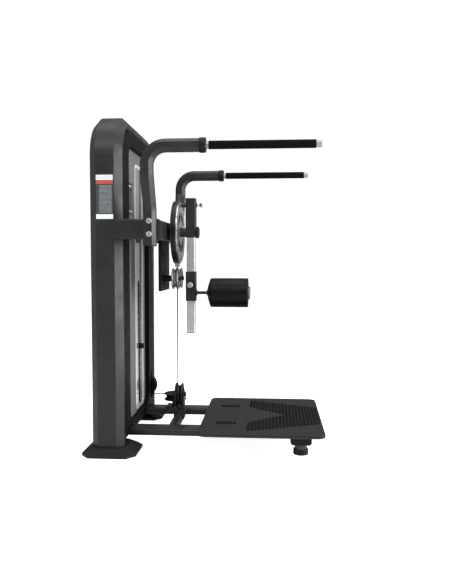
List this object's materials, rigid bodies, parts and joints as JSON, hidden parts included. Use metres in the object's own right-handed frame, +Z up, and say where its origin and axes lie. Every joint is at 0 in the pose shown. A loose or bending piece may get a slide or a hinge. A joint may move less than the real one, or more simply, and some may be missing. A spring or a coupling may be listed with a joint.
{
  "type": "standing hip exercise machine",
  "caption": "Selectorised standing hip machine: weight tower, swinging arm with a padded roller, padded handles and a standing platform.",
  "frame": {"origin": "on the floor, under the middle of the overall box", "axes": "+Z up, +X from the weight tower towards the standing platform, +Y across the machine towards the side of the weight stack"},
  "size_m": [1.082, 1.0412, 1.517],
  "materials": {
    "frame_paint": "satin powder coat",
    "cover_paint": "fine textured powder coat",
    "wheel_paint": "textured powder coat",
    "foot_rubber": "moulded matt",
    "mat_rubber": "embossed matt",
    "black_plastic": "moulded satin",
    "window_acrylic": "smoked clear sheet",
    "plate_paint": "satin paint",
    "chrome_plate": "polished",
    "machined_steel": "turned",
    "bolt_steel": "zinc plated",
    "grip_rubber": "fine moulded texture",
    "roller_vinyl": "grained black vinyl",
    "grey_plastic": "moulded satin",
    "guide_steel": "cast and turned",
    "pulley_nylon": "glass filled nylon",
    "bush_bronze": "sintered bronze",
    "cable_coat": "smooth coated wire rope"
  },
  "bodies": {
    "frame": {"tower_frame": "frame_paint", "base_rails": "frame_paint", "base_cross_tubes": "frame_paint", "end_caps": "black_plastic", "tower_feet": "foot_rubber", "platform_plate": "frame_paint", "platform_mat": "mat_rubber", "side_beams": "frame_paint", "upper_cross_beam": "frame_paint", "pivot_housing": "frame_paint", "pivot_shaft": "machined_steel", "pivot_cap": "black_plastic", "guide_bracket": "frame_paint", "pulley_brackets": "frame_paint", "pulley_bolts": "bolt_steel", "front_cover": "cover_paint", "window_trim": "black_plastic", "window_panel": "window_acrylic", "rear_cover": "cover_paint", "guide_rods": "chrome_plate", "stack_bumpers": "foot_rubber", "rod_top_bar": "frame_paint", "resting_plates": "plate_paint", "handle_tubes": "frame_paint", "handle_collars": "black_plastic", "handle_bars": "chrome_plate", "handle_grips": "grip_rubber", "handle_bolts": "bolt_steel", "frame_cable": "cable_coat", "lift_cable": "cable_coat", "wheel_cable": "cable_coat"},
    "stack": {"lifted_plates": "plate_paint", "head_plate": "plate_paint", "selector_stem": "machined_steel"},
    "wheel": {"drive_wheel": "wheel_paint", "index_plate": "wheel_paint", "wheel_bearings": "machined_steel", "cable_clamp": "machined_steel"},
    "arm": {"arm_sleeve": "frame_paint", "arm_bushes": "bush_bronze", "arm_tube": "chrome_plate", "arm_tube_plug": "black_plastic"},
    "index_pin": {"index_pin": "chrome_plate"},
    "carriage": {"carriage": "frame_paint", "carriage_liners": "black_plastic", "roller_axle": "chrome_plate"},
    "clamp_knob": {"clamp_knob": "black_plastic"},
    "roller": {"roller_pad": "roller_vinyl", "roller_core_ends": "grey_plastic"},
    "selector_pin": {"selector_pin": "black_plastic"},
    "near_guide_pulley": {"near_guide_pulley": "guide_steel"},
    "far_guide_pulley": {"far_guide_pulley": "guide_steel"},
    "foot_pulley": {"foot_pulley": "pulley_nylon"},
    "turn_pulley": {"turn_pulley": "pulley_nylon"},
    "tower_pulley": {"tower_pulley": "pulley_nylon"},
    "outer_top_pulley": {"outer_top_pulley": "pulley_nylon"},
    "inner_top_pulley": {"inner_top_pulley": "pulley_nylon"},
    "near_levelling_foot": {"near_levelling_foot": "foot_rubber"},
    "far_levelling_foot": {"far_levelling_foot": "foot_rubber"}
  },
  "joints": [
    {"name": "stack_lift", "type": "slide", "parent": "frame", "child": "stack", "axis": [0, 0, 1], "range_m": [0, 0.161], "deforming": ["lift_cable"]},
    {"name": "wheel_turn", "type": "hinge", "parent": "frame", "child": "wheel", "pos_m": [-0.169, 0, 1.003], "axis": [1, 0, 0], "range_deg": [0, 75.2], "deforming": ["wheel_cable"]},
    {"name": "arm_index", "type": "hinge", "parent": "wheel", "child": "arm", "pos_m": [-0.1, 0, 1.003], "axis": [1, 0, 0], "range_deg": [-90, 90]},
    {"name": "index_pin_slide", "type": "slide", "parent": "arm", "child": "index_pin", "axis": [-1, 0, 0], "range_m": [0, 0.011]},
    {"name": "carriage_slide", "type": "slide", "parent": "arm", "child": "carriage", "axis": [0, 0, 1], "range_m": [-0.15, 0.15]},
    {"name": "clamp_knob_turn", "type": "hinge", "parent": "carriage", "child": "clamp_knob", "pos_m": [-0.1, -0.04, 0.745], "axis": [0, 1, 0], "continuous": true},
    {"name": "roller_spin", "type": "hinge", "parent": "carriage", "child": "roller", "pos_m": [0.08, 0, 0.705], "axis": [1, 0, 0], "continuous": true},
    {"name": "selector_pin_slide", "type": "slide", "parent": "stack", "child": "selector_pin", "axis": [1, 0, 0], "range_m": [0, 0.1]},
    {"name": "near_guide_spin", "type": "hinge", "parent": "frame", "child": "near_guide_pulley", "pos_m": [-0.169, -0.054, 0.776], "axis": [1, 0, 0], "continuous": true},
    {"name": "far_guide_spin", "type": "hinge", "parent": "frame", "child": "far_guide_pulley", "pos_m": [-0.169, 0.054, 0.776], "axis": [1, 0, 0], "range_deg": [-200, 0]},
    {"name": "foot_pulley_spin", "type": "hinge", "parent": "frame", "child": "foot_pulley", "pos_m": [-0.169, 0.05, 0.181], "axis": [1, 0, 0], "range_deg": [-190, 0]},
    {"name": "turn_pulley_spin", "type": "hinge", "parent": "frame", "child": "turn_pulley", "pos_m": [-0.219, 0.236, 0.131], "axis": [0, 0, 1], "range_deg": [-190, 0]},
    {"name": "tower_pulley_spin", "type": "hinge", "parent": "frame", "child": "tower_pulley", "pos_m": [-0.388, 0.286, 0.181], "axis": [0, 1, 0], "range_deg": [-190, 0]},
    {"name": "outer_top_spin", "type": "hinge", "parent": "frame", "child": "outer_top_pulley", "pos_m": [-0.438, 0.246, 1.389], "axis": [1, 0, 0], "range_deg": [-235, 0]},
    {"name": "inner_top_spin", "type": "hinge", "parent": "frame", "child": "inner_top_pulley", "pos_m": [-0.438, 0.126, 1.389], "axis": [1, 0, 0], "range_deg": [-235, 0]},
    {"name": "near_foot_turn", "type": "hinge", "parent": "frame", "child": "near_levelling_foot", "pos_m": [0.432, -0.309, 0.03], "axis": [0, 0, 1], "continuous": true},
    {"name": "far_foot_turn", "type": "hinge", "parent": "frame", "child": "far_levelling_foot", "pos_m": [0.432, 0.309, 0.03], "axis": [0, 0, 1], "continuous": true}
  ],
  "couplings": [
    {"joint": "wheel_turn", "follows": "stack_lift", "rad_per_m": 8.13},
    {"joint": "far_guide_spin", "follows": "stack_lift", "rad_per_m": -20.8},
    {"joint": "foot_pulley_spin", "follows": "stack_lift", "rad_per_m": -20},
    {"joint": "turn_pulley_spin", "follows": "stack_lift", "rad_per_m": -20},
    {"joint": "tower_pulley_spin", "follows": "stack_lift", "rad_per_m": -20},
    {"joint": "outer_top_spin", "follows": "stack_lift", "rad_per_m": -25},
    {"joint": "inner_top_spin", "follows": "stack_lift", "rad_per_m": -25}
  ]
}
